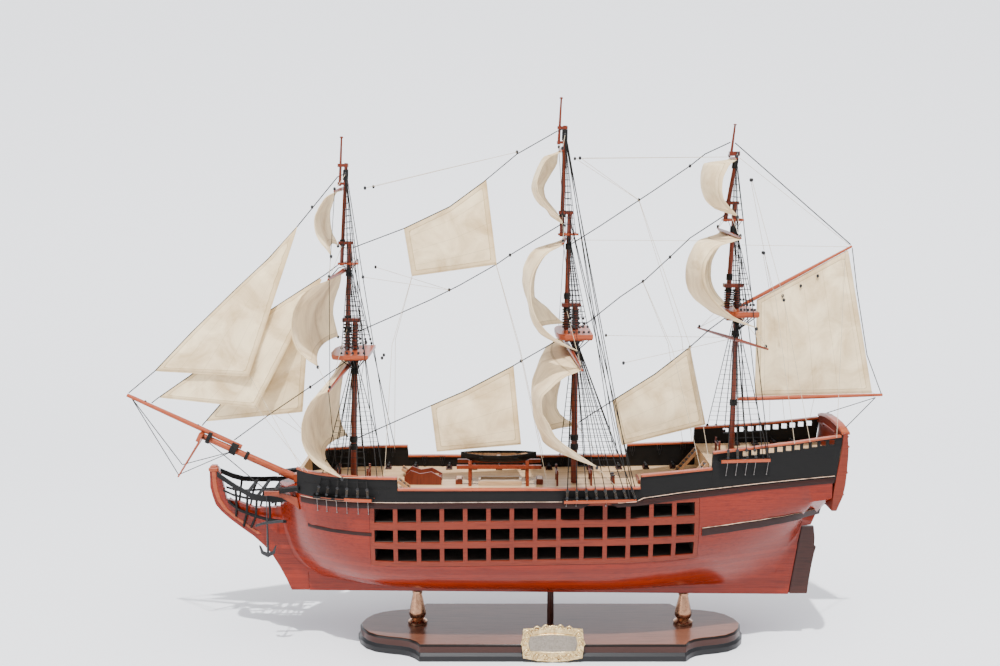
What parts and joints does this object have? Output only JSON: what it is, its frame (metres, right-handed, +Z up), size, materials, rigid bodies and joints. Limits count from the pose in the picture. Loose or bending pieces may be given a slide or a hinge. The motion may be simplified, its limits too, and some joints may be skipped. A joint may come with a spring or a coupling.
{
  "type": "three-masted sailing ship display model",
  "caption": "Wooden display model of a three-masted sailing ship under full canvas, its sides cut open in framed bays, on a moulded plinth with turned brass pedestals and a blank name plate.",
  "frame": {"origin": "middle of the plinth's underside", "axes": "+X towards the stern, +Y to starboard, +Z up; the bow points to -X"},
  "size_m": [0.8044, 0.2362, 0.5831],
  "materials": {
    "hull_wood": "glossy orange-red varnished wood",
    "black_paint": "satin black painted wood",
    "dark_wood": "dark brown varnished wood",
    "mast_wood": "dark red-brown varnished wood",
    "spar_wood": "red-brown varnished wood",
    "deck_wood": "pale planked wood",
    "canvas": "cream cotton cloth with sewn seams",
    "plinth_wood": "dark brown varnished wood with a black moulded edge",
    "brass": "polished rose-coloured brass",
    "gold": "cast gilt metal with a pale blank panel",
    "iron": "matt black",
    "cord": "taut black waxed thread"
  },
  "bodies": {
    "ship": {"base_board": "plinth_wood", "fore_pedestal": "brass", "aft_pedestal": "brass", "centre_rod": "dark_wood", "name_plate": "gold", "hull": "hull_wood", "bay_frame_port": "hull_wood", "bay_frame_starboard": "hull_wood", "knee_of_head": "hull_wood", "bulwark_port": "black_paint", "bulwark_starboard": "black_paint", "stern_board": "black_paint", "head_rails": "black_paint", "ship_boat": "black_paint", "main_deck": "deck_wood", "poop_deck": "deck_wood", "main_hatch": "deck_wood", "boat_gallows": "spar_wood", "anchor_port": "iron", "anchor_starboard": "iron", "fore_lower_mast": "mast_wood", "fore_topmast": "mast_wood", "main_lower_mast": "mast_wood", "main_topmast": "mast_wood", "mizzen_lower_mast": "mast_wood", "mizzen_topmast": "mast_wood", "fore_course_yard": "spar_wood", "fore_topsail_yard": "spar_wood", "fore_topgallant_yard": "spar_wood", "main_course_yard": "spar_wood", "main_topsail_yard": "spar_wood", "main_topgallant_yard": "spar_wood", "crossjack_yard": "spar_wood", "mizzen_topsail_yard": "spar_wood", "mizzen_topgallant_yard": "spar_wood", "bowsprit": "spar_wood", "jib_boom": "spar_wood", "gaff": "spar_wood", "spanker_boom": "spar_wood", "fore_course": "canvas", "fore_topsail": "canvas", "fore_topgallant_sail": "canvas", "main_course": "canvas", "main_topsail": "canvas", "main_topgallant_sail": "canvas", "mizzen_topsail": "canvas", "mizzen_topgallant_sail": "canvas", "flying_jib": "canvas", "outer_jib": "canvas", "inner_jib": "canvas", "main_topmast_staysail": "canvas", "main_staysail": "canvas", "mizzen_staysail": "canvas", "spanker": "canvas", "fore_stay": "cord", "main_topmast_stay": "cord", "mizzen_topgallant_stay": "cord", "mizzen_topmast_stay": "cord", "peak_stay": "cord"},
    "rudder": {"rudder": "dark_wood"}
  },
  "joints": [
    {"name": "rudder_hinge", "type": "hinge", "parent": "ship", "child": "rudder", "pos_m": [0.26046, 0, 0.0524], "axis": [0.1502, 0, 0.9887], "range_deg": [-35, 35]}
  ]
}
